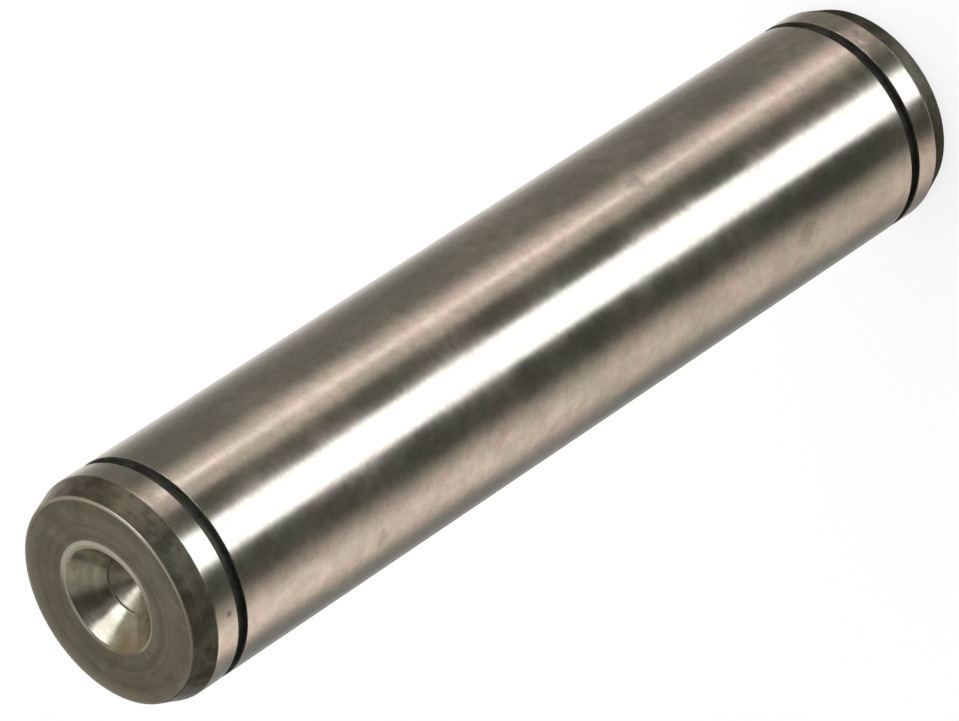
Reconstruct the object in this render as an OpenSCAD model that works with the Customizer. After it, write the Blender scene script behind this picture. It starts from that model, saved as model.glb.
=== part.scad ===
// Brake shoe pin: the ground steel pin that a brake shoe swings on.
// It is turned from one bar, and its two ends are alike. A retaining ring clips into
// the groove near each end, and the conical centre holes carry it while it is ground.
// The pin stands on one end: +Z runs along its axis, and the origin is the middle of
// the lower end face. All lengths are in millimetres.

/* [Pin] */
// Ground diameter of the journal and of both end collars
pin_d = 32; // [24:0.5:60]
// Length over the two end faces
pin_l = 150; // [60:1:300]

/* [Lead-in chamfers] */
// Length of the chamfer, along the pin
chamfer_l = 3.5; // [1:0.1:5]
// Depth of the chamfer below the ground surface, at the end face
chamfer_depth = 1.3; // [0.5:0.1:2.5]
// Radius that blends the chamfer into the ground collar
blend_r = 1.2; // [0.2:0.1:3]
// Radius on the corner between the chamfer and the end face
face_corner_r = 0.4; // [0.1:0.05:0.8]

/* [Retaining ring grooves] */
// Distance from the end face to the middle of the groove
groove_inset = 7.9; // [6:0.1:20]
// Width of the groove, from wall to wall
groove_w = 1.6; // [0.9:0.05:2.5]
// Depth of the groove below the ground surface
groove_depth = 0.85; // [0.5:0.05:1.5]
// Break on both lips of the groove
lip_break = 0.1; // [0.05:0.01:0.3]
// Radius in both corners of the groove's floor
root_r = 0.15; // [0.05:0.01:0.3]

/* [Centre holes] */
// Diameter of the countersink at the end face, before its rim is rounded
sink_d = 15; // [9:0.1:17]
// Included angle of the countersink
sink_angle = 90; // [60:1:120]
// Radius on the rim of the countersink
rim_r = 0.7; // [0.1:0.05:1]
// Diameter of the spotting drill, whose step shows inside the countersink
pilot_d = 7.4; // [3:0.1:8]
// Length of the straight wall that the drill leaves below the countersink
pilot_wall_l = 0.2; // [0.1:0.1:6]
// Included angle of the drill point that ends the hole
point_angle = 90; // [80:1:140]

/* [Hidden] */

// Facets round the pin, and steps along each rounded corner
$fn = 180;
ARC_STEPS = 8;

steel = [0.72, 0.70, 0.66];

pin_r = pin_d / 2;
face_r = pin_r - chamfer_depth;
lip_r = pin_r - lip_break;
root_floor_r = pin_r - groove_depth;
sink_r = sink_d / 2;
pilot_r = pilot_d / 2;

// Depths below the end face
groove_outer = groove_inset - groove_w / 2;
groove_inner = groove_inset + groove_w / 2;
sink_depth = (sink_r - pilot_r) / tan(sink_angle / 2);
pilot_depth = sink_depth + pilot_wall_l;
point_depth = pilot_depth + pilot_r / tan(point_angle / 2);

// One end of the pin, followed from the journal to the bottom of the centre hole.
// Each corner is [radius from the axis, depth below the end face, rounding radius].
groove_path = [
    [pin_r, groove_inner + lip_break, 0],
    [lip_r, groove_inner, 0],
    [root_floor_r, groove_inner, root_r],
    [root_floor_r, groove_outer, root_r],
    [lip_r, groove_outer, 0],
    [pin_r, groove_outer - lip_break, 0],
];
chamfer_path = [
    [pin_r, chamfer_l, blend_r],
    [face_r, 0, face_corner_r],
];
centre_hole_path = [
    [sink_r, 0, rim_r],
    [pilot_r, sink_depth, 0],
    [pilot_r, pilot_depth, 0],
    [0, point_depth, 0],
];
end_path = concat(groove_path, chamfer_path, centre_hole_path);
end_outline = rounded_path(end_path);

// A path's corner without its rounding radius
function point(corner) = [corner[0], corner[1]];

function unit(v) = v / norm(v);

// Points of the arc that rounds corner b of the path a, b, c: both ends of the arc lie
// where it touches the straight sides, and its middle points turn evenly between them
function corner_arc(a, b, c, r) =
    let (
        to_a = unit(a - b),
        to_c = unit(c - b),
        half_corner = acos(to_a * to_c) / 2,
        centre = b + unit(to_a + to_c) * r / sin(half_corner),
        from = b + to_a * r / tan(half_corner) - centre,
        to = b + to_c * r / tan(half_corner) - centre,
        sweep = 180 - 2 * half_corner
    )
    [
        for (step = [0 : ARC_STEPS])
            let (turned = sweep * step / ARC_STEPS)
            centre + (from * sin(sweep - turned) + to * sin(turned)) / sin(sweep)
    ];

// The path's corners as plain points, with an arc in place of each rounded corner
function rounded_path(path) = [
    for (i = [0 : len(path) - 1])
        if (path[i][2] == 0)
            point(path[i])
        else
            each corner_arc(
                point(path[i - 1]), point(path[i]), point(path[i + 1]), path[i][2]
            )
];

// An end's outline on the upper end of the pin, and mirrored on the lower one
function upper_end(outline) = [for (p = outline) [p[0], pin_l - p[1]]];
function lower_end(outline) = [for (i = [len(outline) - 1 : -1 : 0]) outline[i]];

module half_section() {
    polygon(concat(lower_end(end_outline), upper_end(end_outline)));
}

module brake_shoe_pin() {
    color(steel)
        rotate_extrude()
            half_section();
}

brake_shoe_pin();
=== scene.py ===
"""Brake shoe pin, standing on one end on a plain pale floor.

The pin is one turned and ground bar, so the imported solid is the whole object. What is added
here is its finish, the studio round it and the camera. All lengths are in metres and the axis
of the pin is +Z. Inside the finishes, lengths are in millimetres and depths are measured from
the nearer end face.
"""

import math
from types import SimpleNamespace

import bpy
import numpy as np
from mathutils import Matrix, Vector


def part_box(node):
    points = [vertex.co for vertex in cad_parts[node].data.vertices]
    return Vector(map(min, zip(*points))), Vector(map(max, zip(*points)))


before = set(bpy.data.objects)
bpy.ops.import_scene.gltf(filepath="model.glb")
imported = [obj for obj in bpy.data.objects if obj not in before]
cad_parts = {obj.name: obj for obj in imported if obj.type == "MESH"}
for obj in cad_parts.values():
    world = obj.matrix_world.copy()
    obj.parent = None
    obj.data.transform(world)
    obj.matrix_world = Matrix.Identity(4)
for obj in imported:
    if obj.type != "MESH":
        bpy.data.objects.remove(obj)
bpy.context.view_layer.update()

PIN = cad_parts["brake_shoe_pin"]
PIN_LOW, PIN_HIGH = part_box("brake_shoe_pin")

MM_PER_M = 1000
DEGREES_PER_RADIAN = math.degrees(1)
WHITE = (1.0, 1.0, 1.0)

# Sizes that the finishes need, in millimetres
PIN_R = (PIN_HIGH[0] - PIN_LOW[0]) * MM_PER_M / 2
PIN_L = (PIN_HIGH[2] - PIN_LOW[2]) * MM_PER_M
CHAMFER_L = 3.5
CHAMFER_DEPTH = 1.3
FACE_R = PIN_R - CHAMFER_DEPTH
GROOVE_INSET = 7.9
GROOVE_HALF_W = 0.8
LIP_BREAK = 0.1
HOLE_R = 7.79
PILOT_R = 3.7

# Radii at which a finish begins and at which it is full, in millimetres
# The first two radii bound the painted highlights on the end faces
FAR_HIGHLIGHT_R = (12.2, 14.0)
NEAR_HIGHLIGHT_R = (13.2, 12.2)
BROWN_REFLECTION_R = (5.2, 6.6)
BORED_MOTTLE_R = (6.5, 4.5)
STREAK_R = (5.2, 4.0)

# The ring of painted highlight round the hole's rim, and the rolled-over rim, have their middle
# here, a little off the axis
RIM_RING_X, RIM_RING_Y = 0.30, -0.18

# Level directions, as x and y, of the side that each of these lies on: the painted rim highlight,
# the painted corner highlight and the painted brown reflection
RIM_HIGHLIGHT_SIDE = (-0.87, 0.5)
CORNER_HIGHLIGHT_SIDE = (0.6, -0.8)
BROWN_REFLECTION_SIDE = (-0.927, 0.375)

# Patterns lie about 0.5. Each cut is the value at which one begins to show, and at which it is full
WIDE_CUT = (0.3, 0.7)
EARLY_CUT = (0.35, 0.7)
EVEN_CUT = (0.35, 0.65)
LATE_CUT = (0.4, 0.7)

# Handling marks on the ground steel: azimuth, height from the lower face, radius and strength
SMUDGES = (
    (-30, 52.5, 1.6, 0.35),
    (40, 31.0, 2.2, 0.35),
    (52, 116.0, 1.3, 0.35),
    (-38, 144.6, 2.8, 0.35),
    (-24, 145.2, 1.6, 0.20),
    (37, 144.4, 0.7, 0.80),
    (22, 30.0, 2.4, 0.30),
    (-27, 5.0, 2.6, 0.60),
    (24, 5.6, 2.6, 0.45),
)
# A smudge's strength rises between these two shares of its radius, and its edge is uneven
SMUDGE_OUTER, SMUDGE_INNER = 1.2, 0.3
SMUDGE_UNEVEN = 3

# Colours of the ground journal and collars
GROUND_DARK = (0.72, 0.69, 0.65)
GROUND_LIGHT = (0.81, 0.785, 0.75)
GROUND_SWELL = (0.54, 0.52, 0.475)
GROUND_LINES = (0.62, 0.585, 0.54)
GROUND_MOTTLE = (0.52, 0.50, 0.45)
GROUND_GRIT = (0.94, 0.91, 0.88)
SPECK = (0.30, 0.27, 0.23)
SMUDGE = (0.20, 0.19, 0.16)
# Colours of the turned chamfers
TURNED_DARK = (0.25, 0.245, 0.21)
TURNED_LIGHT = (0.37, 0.35, 0.30)
TURNED_MOTTLE = (0.15, 0.146, 0.12)
TURNED_LINES = (0.55, 0.52, 0.46)
# Colours of the end faces. The far edge and near side colours are painted highlights
FACE_DARK = (0.205, 0.207, 0.165)
FACE_LIGHT = (0.40, 0.37, 0.31)
FACE_CLOUD = (0.255, 0.24, 0.19)
FACE_MOTTLE = (0.23, 0.227, 0.18)
FACE_FAR_HIGHLIGHT = (0.58, 0.55, 0.48)
FACE_NEAR_HIGHLIGHT = (0.44, 0.43, 0.355)
FACE_LINES = (0.42, 0.40, 0.35)
FACE_BROAD_LINES = (0.17, 0.165, 0.13)
# Colours of the centre holes. The brown is a painted reflection on one side of the cone, and the
# step colour is painted shade
BORED_DARK = (0.54, 0.51, 0.455)
BORED_LIGHT = (0.84, 0.82, 0.77)
BORED_STAIN = (0.42, 0.39, 0.35)
BORED_BROWN_REFLECTION = (0.36, 0.30, 0.225)
BORED_MOTTLE = (0.36, 0.34, 0.28)
DRILL_POINT = (0.64, 0.61, 0.55)
DRILL_STREAK = (0.25, 0.245, 0.20)
DRILL_STEP_SHADE = (0.36, 0.35, 0.30)
# Colours of the painted highlight on the hole's rim and the face's corner, and of the painted shade
# in the grooves
EDGE_HIGHLIGHT_DARK = (0.88, 0.84, 0.77)
EDGE_HIGHLIGHT_LIGHT = (1.0, 0.96, 0.90)
GROOVE_SHADE_DARK = (0.05, 0.051, 0.044)
GROOVE_SHADE_LIGHT = (0.10, 0.10, 0.088)
# Slight casts that every colour is multiplied by
HUE_GREEN, HUE_PINK = (0.96, 1.0, 0.965), (1.0, 0.962, 0.972)
CAST_COOL, CAST_WARM = (0.985, 1.0, 1.0), (1.0, 0.975, 0.96)

# Roughness of each finish, before its patterns add to it
GROUND_ROUGH = 0.135
SMUDGE_ROUGH = 0.34
TURNED_ROUGH = 0.26
HOLE_ROUGH = 0.17
STEP_ROUGH = 0.42
EDGE_HIGHLIGHT_ROUGH = 0.28
GROOVE_ROUGH = 0.5
GROOVE_METALLIC = 0.5

# Heights of the relief, in millimetres
WAVE_H = 0.016
GRIND_LINE_H = 0.0005
MOTTLE_H = 0.0009
TURNING_LINE_H = 0.006
FACE_RING_H = 0.01
BORING_LINE_H = 0.007
RIM_ROLLED_H = 0.055

# The camera: it looks down on the pin from the side that azimuth 0 faces, and is rolled until
# the pin's upper end points to the lower left
CAMERA_ELEVATION = 37.28
CAMERA_ROLL = 123.30
CAMERA_DISTANCE = 0.947
CAMERA_AIM = Vector((-0.00036, 0.0, 0.0799))
CAMERA_LENS, CAMERA_SENSOR = 269.7, 36.0
CAMERA_CLIP = (0.05, 50.0)

# The floor: its size, its grey, and how much of it is plain white to the camera
FLOOR_R = 6.0
FLOOR_RINGS, FLOOR_SPOKES = 12, 96
FLOOR_GREY = 0.8
FLOOR_GLOW = 0.83

# The one lamp. The floor takes its light and the pin's soft shadow from it; the steel mirrors
# the boards only. Spread and lean are in degrees
LAMP_STRENGTH = 3.0
LAMP_SPREAD = 70.0
LAMP_LEAN = (-12.0, 14.0)

# The studio that the steel mirrors. Each board is (azimuth, half width, softness, low, high,
# brightness): azimuth 0 is the camera's side and grows towards -X, low and high are its lowest
# and highest elevation. A later board stands in front of the earlier ones
ROOM = (0.20, 0.19, 0.16)
BOARD_EDGE = 3
BOARDS = {
    "pale wall behind": (-163, 25, 54, -43, 20, (0.50, 0.48, 0.455)),
    "white sheet behind": (-166, 13, 30, -43, -4, (0.82, 0.79, 0.75)),
    "grey edge of the sheet": (177, 7, 8, -62, -28, (0.22, 0.22, 0.21)),
    "bright board behind": (180, 26, 24, 13, 22, (0.54, 0.51, 0.465)),
    "cool wall on the left": (145, 15, 22, -62, -4, (0.255, 0.253, 0.24)),
    "cool edge on the left": (160, 3, 8, -62, -28, (0.46, 0.46, 0.44)),
    "grey wall behind": (180, 75, 30, 22, 66, (0.40, 0.375, 0.335)),
    "dark flag on the right": (-28, 14, 20, -62, -4, (0.115, 0.114, 0.09)),
    "dark flag on the left": (42, 22, 20, -62, -4, (0.08, 0.081, 0.066)),
    "warm board on the left": (96.25, 24.75, 36, -62, -10, (0.685, 0.585, 0.505)),
    "lit end of the left board": (96, 16, 22, -34.5, -20, (1.25, 1.10, 0.99)),
    "warm board on the right": (-58, 11.5, 28, -62, -5, (0.97, 0.82, 0.735)),
    "front edge of the warm board": (-42.5, 5, 6, -37.5, -8, (0.74, 0.635, 0.555)),
    "bright strip on the right": (-56, 3, 6, -39, -8, (1.20, 1.04, 0.95)),
    "thin lamp on the right": (-56, 1.8, 2.4, -41, -12, (1.80, 1.58, 1.45)),
    "white softbox": (6.75, 16.1, 5, -62, -6, (2.15, 2.15, 2.15)),
    "dark wall on the left": (105, 52, 30, -13, 12, (0.13, 0.136, 0.112)),
    "darker part of that wall": (118, 24, 24, -13, 12, (0.06, 0.066, 0.055)),
    "grey wall on the right": (-50, 40, 24, -8, 14, (0.35, 0.32, 0.27)),
    "dim wall in front": (5, 32, 24, -4, 14, (0.15, 0.145, 0.118)),
    "dark flag behind": (-108, 9, 10, -28, -8, (0.14, 0.135, 0.115)),
    "dim flag behind": (122, 9, 10, -28, -8, (0.14, 0.14, 0.12)),
    "pale sheet behind": (180, 26, 14, -25, -6, (0.90, 0.88, 0.84)),
    "high dark flag": (28, 28, 14, 26, 68, (0.075, 0.07, 0.055)),
    "high grey board": (98, 30, 24, 14, 50, (0.33, 0.33, 0.25)),
    "olive wall": (-120, 36, 26, -4, 52, (0.33, 0.29, 0.20)),
    "lit part of the olive wall": (-132, 20, 24, 7, 24, (0.48, 0.43, 0.34)),
    "upper part of the olive wall": (-106, 24, 24, 24, 52, (0.44, 0.40, 0.31)),
    "raised softbox": (-57.5, 22, 8, 30, 62, (2.0, 1.95, 1.88)),
    "overhead sheet": (0, 180, 1, 72, 90, (0.45, 0.44, 0.425)),
    "dark pit below": (0, 180, 1, -90, -53, (0.11, 0.11, 0.09)),
    "far side of the pit": (180, 50, 20, -90, -44, (0.04, 0.04, 0.033)),
    "near side of the pit": (0, 70, 60, -90, -53, (0.46, 0.455, 0.40)),
}


class Signal:
    """An output socket. Sums on it add Math nodes, and numbers may stand on either side."""

    def __init__(self, graph, socket):
        self.graph, self.socket = graph, socket

    def __add__(self, other):
        return self.graph.math("ADD", self, other)

    def __radd__(self, other):
        return self.graph.math("ADD", other, self)

    def __sub__(self, other):
        return self.graph.math("SUBTRACT", self, other)

    def __rsub__(self, other):
        return self.graph.math("SUBTRACT", other, self)

    def __mul__(self, other):
        return self.graph.math("MULTIPLY", self, other)

    def __rmul__(self, other):
        return self.graph.math("MULTIPLY", other, self)

    def __truediv__(self, other):
        return self.graph.math("DIVIDE", self, other)

    def __rtruediv__(self, other):
        return self.graph.math("DIVIDE", other, self)

    def __pow__(self, other):
        return self.graph.math("POWER", self, other)

    def __rpow__(self, other):
        return self.graph.math("POWER", other, self)

    def __abs__(self):
        return self.graph.math("ABSOLUTE", self)

    def ramp(self, start, end, low=0.0, high=1.0):
        """Smooth rise from low, where the signal is start, to high, where it is end."""
        settings = {"interpolation_type": "SMOOTHSTEP"}
        sockets = {"Value": self, "From Min": start, "From Max": end, "To Min": low, "To Max": high}
        return self.graph.add("ShaderNodeMapRange", settings, sockets)

    def band(self, centre, half_width, softness):
        """1 within half_width of centre, falling smoothly to 0 over softness on both sides."""
        return abs(self - centre).ramp(half_width + softness / 2, half_width - softness / 2)


class Graph:
    """A node tree, and the one way to add a node to it."""

    def __init__(self, tree):
        self.tree = tree
        tree.nodes.clear()

    def add(self, kind, settings=None, sockets=None, output=0):
        """A node of that type: its settings come first, then its sockets. Gives one output."""
        node = self.tree.nodes.new(kind)
        for name, value in (settings or {}).items():
            setattr(node, name, value)
        for key, value in (sockets or {}).items():
            if isinstance(value, Signal):
                self.tree.links.new(value.socket, node.inputs[key])
            else:
                node.inputs[key].default_value = value
        return Signal(self, node.outputs[output]) if node.outputs else None

    def math(self, operation, *operands):
        return self.add("ShaderNodeMath", {"operation": operation}, dict(enumerate(operands)))

    def vector_math(self, operation, *operands, output="Vector"):
        settings = {"operation": operation}
        return self.add("ShaderNodeVectorMath", settings, dict(enumerate(operands)), output)

    def mix_colours(self, factor, first, second, blend="MIX"):
        """The first colour where factor is 0, the second where it is 1."""
        first, second = (c if isinstance(c, Signal) else (*c, 1.0) for c in (first, second))
        settings = {"data_type": "RGBA", "blend_type": blend, "clamp_factor": True}
        return self.add("ShaderNodeMix", settings, {0: factor, 6: first, 7: second}, output=2)

    def mix_values(self, factor, first, second):
        """The first value where factor is 0, the second where it is 1."""
        return self.add("ShaderNodeMix", {"data_type": "FLOAT"}, {0: factor, 2: first, 3: second})

    def layered(self, colour, *layers):
        """The colour under its layers. Each layer is how much of it shows, and its colour."""
        for shown, layer in layers:
            colour = self.mix_colours(shown, colour, layer)
        return colour

    def vector(self, x, y, z):
        return self.add("ShaderNodeCombineXYZ", None, {0: x, 1: y, 2: z})

    def coordinates(self, kind):
        """The x, y and z of that kind of texture coordinate."""
        place = self.add("ShaderNodeTexCoord", output=kind)
        split = self.add("ShaderNodeSeparateXYZ", None, {0: place}).socket.node
        return [Signal(self, socket) for socket in split.outputs]

    def noise(self, place, scale=1.0, detail=3.0, rough=0.5, seed=0.0):
        """Noise about 0.5 wherever place is. The seed shifts it, so that no two patterns match."""
        settings = {"noise_dimensions": "4D"}
        sockets = {
            "Vector": place, "W": seed, "Scale": scale, "Detail": detail, "Roughness": rough,
        }
        return self.add("ShaderNodeTexNoise", settings, sockets)

    def camera_ray(self):
        """1 where the camera itself looks, and 0 in reflections and for light."""
        return self.add("ShaderNodeLightPath", output="Is Camera Ray")


def level_direction(azimuth):
    """x and y of the level direction at that azimuth: (-sin azimuth, -cos azimuth)."""
    turn = math.radians(azimuth)
    return -math.sin(turn), -math.cos(turn)


def towards(at, side):
    """How far a point lies from the axis towards that side."""
    return at.x * side[0] + at.y * side[1]


def survey(g):
    """A point's place on the pin, in millimetres, and the patterns there."""
    x, y, z = (axis * MM_PER_M for axis in g.coordinates("Object"))
    here = g.vector(x, y, z)
    radius = (x * x + y * y) ** 0.5
    depth = PIN_L / 2 - abs(z - PIN_L / 2)

    def drawn_out(across, place, detail, rough, seed):
        """Noise drawn out round the pin, more so the smaller across is."""
        return g.noise(g.vector(x * across, y * across, place), 1.0, detail, rough, seed)

    return SimpleNamespace(
        x=x,
        y=y,
        here=here,
        radius=radius,
        depth=depth,
        below=PIN_R - radius,
        # Grinding lines run round the journal, each a few millimetres long
        grind=drawn_out(0.16, z * 6.0, 4.0, 0.6, 1.3),
        grind_broad=drawn_out(0.05, z * 1.1, 3.0, 0.55, 4.1),
        # Turning lines run round the ends and down the centre holes
        feed=drawn_out(0.05, radius * 3.2 + depth * 2.1, 4.0, 0.6, 7.7),
        feed_broad=drawn_out(0.02, radius * 0.8 + depth * 0.6, 2.0, 0.5, 2.9),
        # Patches, from the largest to the smallest
        swell=drawn_out(0.11, z * 0.06, 2.0, 0.5, 3.7),
        cloud=g.noise(here, 0.12, 3.0, 0.55, 5.2),
        tint=g.noise(here, 0.26, 3.0, 0.6, 9.4),
        stain=g.noise(here, 0.45, 5.0, 0.65, 8.6),
        mottle=g.noise(here, 0.55, 2.0, 0.6, 2.2),
        grit=g.noise(here, 1.7, 1.5, 0.5, 6.1),
    )


def smudged(g, at):
    """Strength of the smudges: each falls off from its middle, and mottling roughens its edge."""
    total = 0.0
    for azimuth, height, size, strength in SMUDGES:
        x, y = level_direction(azimuth)
        middle = (PIN_R * x, PIN_R * y, height)
        away = g.vector_math("DISTANCE", at.here, middle, output="Value")
        away = away + (at.mottle - 0.5) * (SMUDGE_UNEVEN * size)
        total = total + away.ramp(size * SMUDGE_OUTER, size * SMUDGE_INNER) * strength
    return g.math("MINIMUM", total, 1.0)


def painted_edge_highlights(g, at, rim_away):
    """Painted highlight on the hole's rim and on the face's outer corner, each mostly on one side.
    """
    rim = rim_away.band(0.06, 0.38, 0.30)
    rim_side = towards(at, RIM_HIGHLIGHT_SIDE) + at.radius * 0.3 * (at.stain - 0.3)
    corner = at.radius.band(FACE_R - 0.15, 0.20, 0.18) * at.depth.ramp(0.5, 0.35)
    corner_side = towards(at, CORNER_HIGHLIGHT_SIDE) + (at.cloud - 0.5) * 12
    rim = rim * rim_side.ramp(1.5, -6.0)
    corner = corner * corner_side.ramp(0.0, 16.0, 0.15, 0.8)
    return g.math("MAXIMUM", rim, corner)


def places(g, at):
    """Where each finish lies, from 0 to 1, and the distance outward from the ring of painted rim
    highlight.
    """
    end = at.depth.ramp(CHAMFER_L + 1.2, CHAMFER_L + 1.0)
    beside_groove = at.depth.band(GROOVE_INSET, GROOVE_HALF_W + LIP_BREAK, 0.06)
    rim_away = ((at.x - RIM_RING_X) ** 2 + (at.y - RIM_RING_Y) ** 2) ** 0.5 - HOLE_R
    return SimpleNamespace(
        turned=at.below.ramp(0.015, 0.06) * end,
        face=at.depth.ramp(0.25, 0.08) * end,
        hole=at.radius.ramp(HOLE_R + 0.02, HOLE_R - 0.12),
        drill_point=at.radius.ramp(PILOT_R + 0.05, PILOT_R - 0.1),
        step=at.radius.band(PILOT_R + (at.mottle - 0.5) * 0.4, 0.10, 0.08),
        groove=beside_groove * at.below.ramp(0.01, 0.05),
        rim_away=rim_away,
        edge_highlight=painted_edge_highlights(g, at, rim_away),
        smudge=smudged(g, at),
    )


def ground_colour(g, at, on):
    """Ground steel: slow grey swells, broad lines, mottling, bright grit, specks and smudges."""
    specks = at.grit.ramp(0.66, 0.76) * at.stain.ramp(0.52, 0.64)
    return g.layered(
        g.mix_colours(at.cloud.ramp(*EVEN_CUT), GROUND_DARK, GROUND_LIGHT),
        (at.swell.ramp(*EVEN_CUT, 0.9, 0.0), GROUND_SWELL),
        (at.grind_broad.ramp(*EARLY_CUT) * 0.2, GROUND_LINES),
        (at.mottle.ramp(*EARLY_CUT) * 0.6, GROUND_MOTTLE),
        (at.grit.ramp(*EVEN_CUT) * 0.15, GROUND_GRIT),
        (specks * 0.6, SPECK),
        (on.smudge, SMUDGE),
    )


def turned_colour(g, at):
    """Dull turned steel of the chamfers."""
    return g.layered(
        g.mix_colours(at.stain.ramp(*EVEN_CUT), TURNED_DARK, TURNED_LIGHT),
        (at.mottle.ramp(0.42, 0.62) * 0.7, TURNED_MOTTLE),
        (at.feed.ramp(*LATE_CUT) * 0.25, TURNED_LINES),
    )


def face_colour(g, at):
    """Dark skin of the end faces, with painted highlights lighter on the far edge and inside the
    edge on the near side.
    """
    far_highlight = at.radius.ramp(*FAR_HIGHLIGHT_R) * at.y.ramp(-2.0, 12.0)
    near_highlight = at.y.ramp(0.0, -7.0) * at.radius.ramp(*NEAR_HIGHLIGHT_R)
    return g.layered(
        g.mix_colours(at.stain.ramp(*WIDE_CUT), FACE_DARK, FACE_LIGHT),
        (at.cloud.ramp(0.35, 0.6) * 0.5, FACE_CLOUD),
        (at.mottle.ramp(0.4, 0.65) * 0.5, FACE_MOTTLE),
        # Painted highlights: lighter on the far edge, and inside the edge on the near side
        (far_highlight * 0.6, FACE_FAR_HIGHLIGHT),
        (near_highlight * at.mottle.ramp(*WIDE_CUT, 0.4, 1.0) * 0.45, FACE_NEAR_HIGHLIGHT),
        (at.feed.ramp(*LATE_CUT) * 0.2, FACE_LINES),
        (at.feed_broad.ramp(0.45, 0.7) * 0.4, FACE_BROAD_LINES),
    )


def hole_colour(g, at, on):
    """Machined steel of the centre holes: bright cone, a painted brown reflection on one side,
    streaked drill point, painted shade on the step.
    """
    # Painted reflection: a darker brown sector on one side of the cone
    brown_reflection_side = (towards(at, BROWN_REFLECTION_SIDE) / at.radius).ramp(0.88, 0.985)
    brown = at.radius.ramp(*BROWN_REFLECTION_R) * brown_reflection_side
    streaks = at.feed_broad.ramp(0.45, 0.6) * at.radius.ramp(*STREAK_R) * at.x.ramp(-0.2, 1.4)
    return g.layered(
        g.mix_colours(at.feed.ramp(*EARLY_CUT), BORED_DARK, BORED_LIGHT),
        (at.stain.ramp(0.4, 0.65) * 0.6, BORED_STAIN),
        (brown * 0.75, BORED_BROWN_REFLECTION),
        (on.drill_point, DRILL_POINT),
        (at.mottle.ramp(0.5, 0.68) * at.radius.ramp(*BORED_MOTTLE_R) * 0.6, BORED_MOTTLE),
        (streaks * 0.7, DRILL_STREAK),
        # Painted shade on the step ring, darker towards +x and +y
        (on.step * (at.x + at.y).ramp(-1.5, 1.5, 0.1, 0.8), DRILL_STEP_SHADE),
    )


def pin_colour(g, at, on):
    """Every finish in its place, the painted highlights and painted shade among them, with slight
    casts over all of them.
    """
    colour = g.layered(
        ground_colour(g, at, on),
        (on.turned, g.mix_colours(on.face, turned_colour(g, at), face_colour(g, at))),
        (on.hole, hole_colour(g, at, on)),
        # Painted highlight: near white on the rim and the face's corner, mostly on one side
        (on.edge_highlight * 0.95, g.mix_colours(at.mottle.ramp(*WIDE_CUT), EDGE_HIGHLIGHT_DARK, EDGE_HIGHLIGHT_LIGHT)),
        # Painted shade: the grooves are made near black
        (on.groove, g.mix_colours(at.stain.ramp(0.4, 0.6), GROOVE_SHADE_DARK, GROOVE_SHADE_LIGHT)),
    )
    hue = g.mix_colours(at.tint.ramp(0.36, 0.64), HUE_GREEN, HUE_PINK)
    cast = g.mix_colours(at.swell.ramp(0.38, 0.62), CAST_COOL, CAST_WARM)
    for slight in (hue, cast):
        colour = g.mix_colours(1.0, colour, slight, blend="MULTIPLY")
    return colour


def pin_roughness(g, at, on):
    """Roughness of every finish in its place."""
    ground = GROUND_ROUGH + at.grind.ramp(*WIDE_CUT) * 0.03
    ground = ground + at.cloud.ramp(*LATE_CUT) * 0.045 + at.swell.ramp(*EVEN_CUT) * 0.05
    turned = TURNED_ROUGH + on.face * 0.08 + at.stain.ramp(*WIDE_CUT) * 0.10
    hole = HOLE_ROUGH + at.feed.ramp(*WIDE_CUT) * 0.06 + on.drill_point * 0.15
    roughness = ground
    for shown, value in (
        (on.smudge, SMUDGE_ROUGH),
        (on.turned, turned),
        (on.hole, hole),
        (on.step, STEP_ROUGH),
        (on.edge_highlight, EDGE_HIGHLIGHT_ROUGH),
        (on.groove, GROOVE_ROUGH),
    ):
        roughness = g.mix_values(shown, roughness, value)
    return roughness


def pin_relief(at, on):
    """Height of the fine relief, in millimetres: waves, lines, rings and the rolled-over rim."""
    waves = (at.cloud - 0.5) * WAVE_H * (1 - on.turned)
    lines = (at.grind - 0.5) * GRIND_LINE_H + (at.mottle - 0.5) * MOTTLE_H
    turning = (at.feed - 0.5) * TURNING_LINE_H * on.turned
    rings = turning + (at.feed_broad - 0.5) * FACE_RING_H * on.face
    chatter = (at.feed - 0.5) * BORING_LINE_H * on.hole
    rolled = on.rim_away.ramp(0.55, -0.15) * -RIM_ROLLED_H
    return waves + lines + rings + chatter + rolled


def ground_steel(material):
    """The pin's finishes on one shader: ground journal, turned ends, centre holes, grooves."""
    g = Graph(material.node_tree)
    at = survey(g)
    on = places(g, at)
    height = pin_relief(at, on) * (1 / MM_PER_M)
    bump = g.add("ShaderNodeBump", None, {"Strength": 1.0, "Distance": 1.0, "Height": height})
    sockets = {
        "Base Color": pin_colour(g, at, on),
        "Metallic": g.mix_values(on.groove, 1.0, GROOVE_METALLIC),
        "Roughness": pin_roughness(g, at, on),
        "Normal": bump,
    }
    shader = g.add("ShaderNodeBsdfPrincipled", None, sockets)
    g.add("ShaderNodeOutputMaterial", None, {"Surface": shader})


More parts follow.
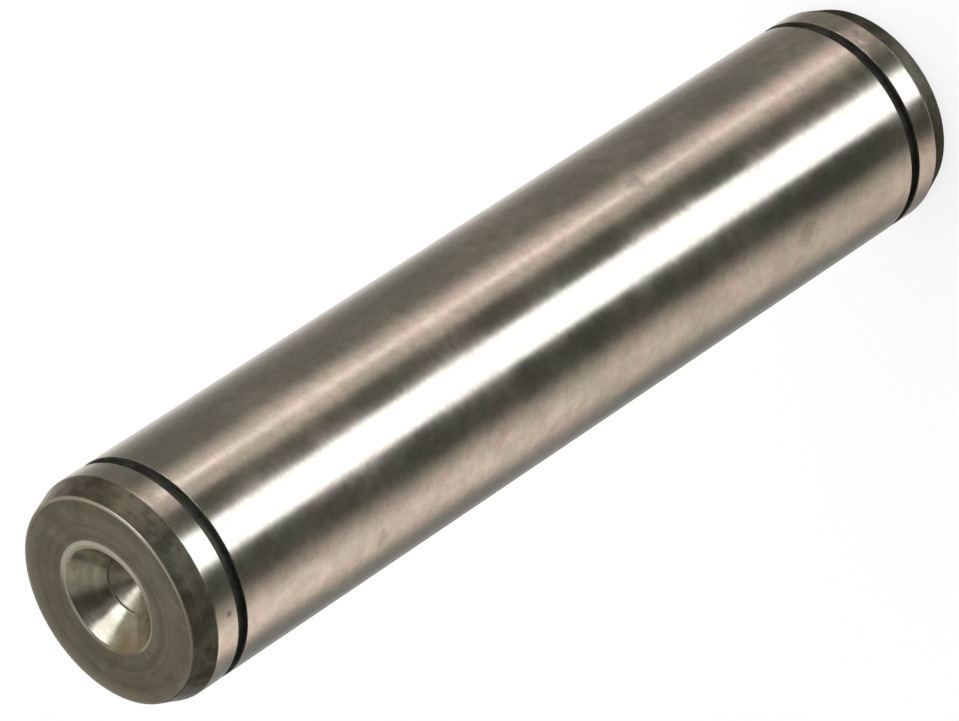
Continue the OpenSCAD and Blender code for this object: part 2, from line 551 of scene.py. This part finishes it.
def studio(world):
    """Light and dark boards round the pin, and plain white for the camera."""
    world.use_nodes = True
    g = Graph(world.node_tree)
    x, y, z = g.coordinates("Generated")
    level = g.vector_math("NORMALIZE", g.vector(x, y, 0.0))
    elevation = g.math("ARCSINE", z) * DEGREES_PER_RADIAN
    light = ROOM
    for azimuth, half_width, softness, low, high, brightness in BOARDS.values():
        facing = (*level_direction(azimuth), 0.0)
        along = g.vector_math("DOT_PRODUCT", level, facing, output="Value")
        away = g.math("ARCCOSINE", g.math("MINIMUM", along, 1.0)) * DEGREES_PER_RADIAN
        shown = away.ramp(half_width + softness / 2, half_width - softness / 2)
        shown = shown * elevation.ramp(low - BOARD_EDGE, low + BOARD_EDGE)
        shown = shown * elevation.ramp(high + BOARD_EDGE, high - BOARD_EDGE)
        light = g.mix_colours(shown, light, brightness)
    light = g.mix_colours(g.camera_ray(), light, WHITE)
    background = g.add("ShaderNodeBackground", None, {"Color": light, "Strength": 1.0})
    g.add("ShaderNodeOutputWorld", None, {"Surface": background})


def soft_lamp():
    """A wide soft lamp overhead, leaning a little."""
    data = bpy.data.lights.new("soft_lamp", "SUN")
    data.energy, data.angle = LAMP_STRENGTH, math.radians(LAMP_SPREAD)
    lamp = bpy.data.objects.new("soft_lamp", data)
    lamp.rotation_euler = (math.radians(LAMP_LEAN[0]), math.radians(LAMP_LEAN[1]), 0.0)
    lamp.visible_glossy = False
    bpy.context.scene.collection.objects.link(lamp)


def disc(radius, rings, spokes):
    """Points and faces of a flat disc, in rings of quads round a fan of triangles.

    Point i * spokes + j, with i from 0 to rings - 1, lies at radius * (i + 1) / rings from the
    middle, turned by 2 pi * j / spokes. The last point is the middle.
    """
    distances = np.linspace(0, radius, rings + 1)[1:]
    turns = np.arange(spokes) * 2 * np.pi / spokes
    r, turn = np.meshgrid(distances, turns, indexing="ij")
    points = np.stack([r * np.cos(turn), r * np.sin(turn), np.zeros_like(r)], axis=-1)
    points = np.vstack([points.reshape(-1, 3), [[0.0, 0.0, 0.0]]])
    i, j = np.meshgrid(np.arange(rings - 1), np.arange(spokes), indexing="ij")
    inner, outer, after = i * spokes, (i + 1) * spokes, (j + 1) % spokes
    quads = np.stack([inner + j, outer + j, outer + after, inner + after], axis=-1)
    spoke = np.arange(spokes)
    middle = np.full(spokes, rings * spokes)
    fan = np.stack([middle, spoke, (spoke + 1) % spokes], axis=-1)
    return points.tolist(), quads.reshape(-1, 4).tolist() + fan.tolist()


def pale_floor():
    """A round floor under the pin: it takes the pin's shadow, and steel doesn't mirror it."""
    points, faces = disc(FLOOR_R, FLOOR_RINGS, FLOOR_SPOKES)
    mesh = bpy.data.meshes.new("pale_floor")
    mesh.from_pydata(points, [], faces)
    floor = bpy.data.objects.new("pale_floor", mesh)
    bpy.context.scene.collection.objects.link(floor)
    floor.visible_glossy = False

    material = bpy.data.materials.new("pale_floor")
    material.use_nodes = True
    g = Graph(material.node_tree)
    grey = (FLOOR_GREY, FLOOR_GREY, FLOOR_GREY, 1.0)
    matt = g.add("ShaderNodeBsdfDiffuse", None, {"Color": grey})
    glow = g.add("ShaderNodeEmission", None, {"Color": (*WHITE, 1.0), "Strength": 1.0})
    sockets = {0: g.camera_ray() * FLOOR_GLOW, 1: matt, 2: glow}
    surface = g.add("ShaderNodeMixShader", None, sockets)
    g.add("ShaderNodeOutputMaterial", None, {"Surface": surface})
    mesh.materials.append(material)


def place_camera():
    """A camera CAMERA_ELEVATION above the aim point, turned about its line of sight."""
    tilt, roll = math.radians(CAMERA_ELEVATION), math.radians(CAMERA_ROLL)
    forward = Vector((0.0, math.cos(tilt), -math.sin(tilt)))
    level_up = Vector((0.0, math.sin(tilt), math.cos(tilt)))
    level_right = Vector((1.0, 0.0, 0.0))
    up = level_up * math.cos(roll) + level_right * math.sin(roll)
    right = level_right * math.cos(roll) - level_up * math.sin(roll)
    data = bpy.data.cameras.new("camera")
    data.lens, data.sensor_width = CAMERA_LENS, CAMERA_SENSOR
    data.clip_start, data.clip_end = CAMERA_CLIP
    camera = bpy.data.objects.new("camera", data)
    turn = Matrix((right, up, -forward)).transposed().to_4x4()
    camera.matrix_world = Matrix.Translation(CAMERA_AIM - forward * CAMERA_DISTANCE) @ turn
    bpy.context.scene.collection.objects.link(camera)
    bpy.context.scene.camera = camera


scene = bpy.context.scene
scene.view_settings.view_transform = "Standard"
scene.world = scene.world or bpy.data.worlds.new("studio")

place_camera()
studio(scene.world)
soft_lamp()
pale_floor()
for material_slot in PIN.material_slots:
    material_slot.material.use_nodes = True
    ground_steel(material_slot.material)
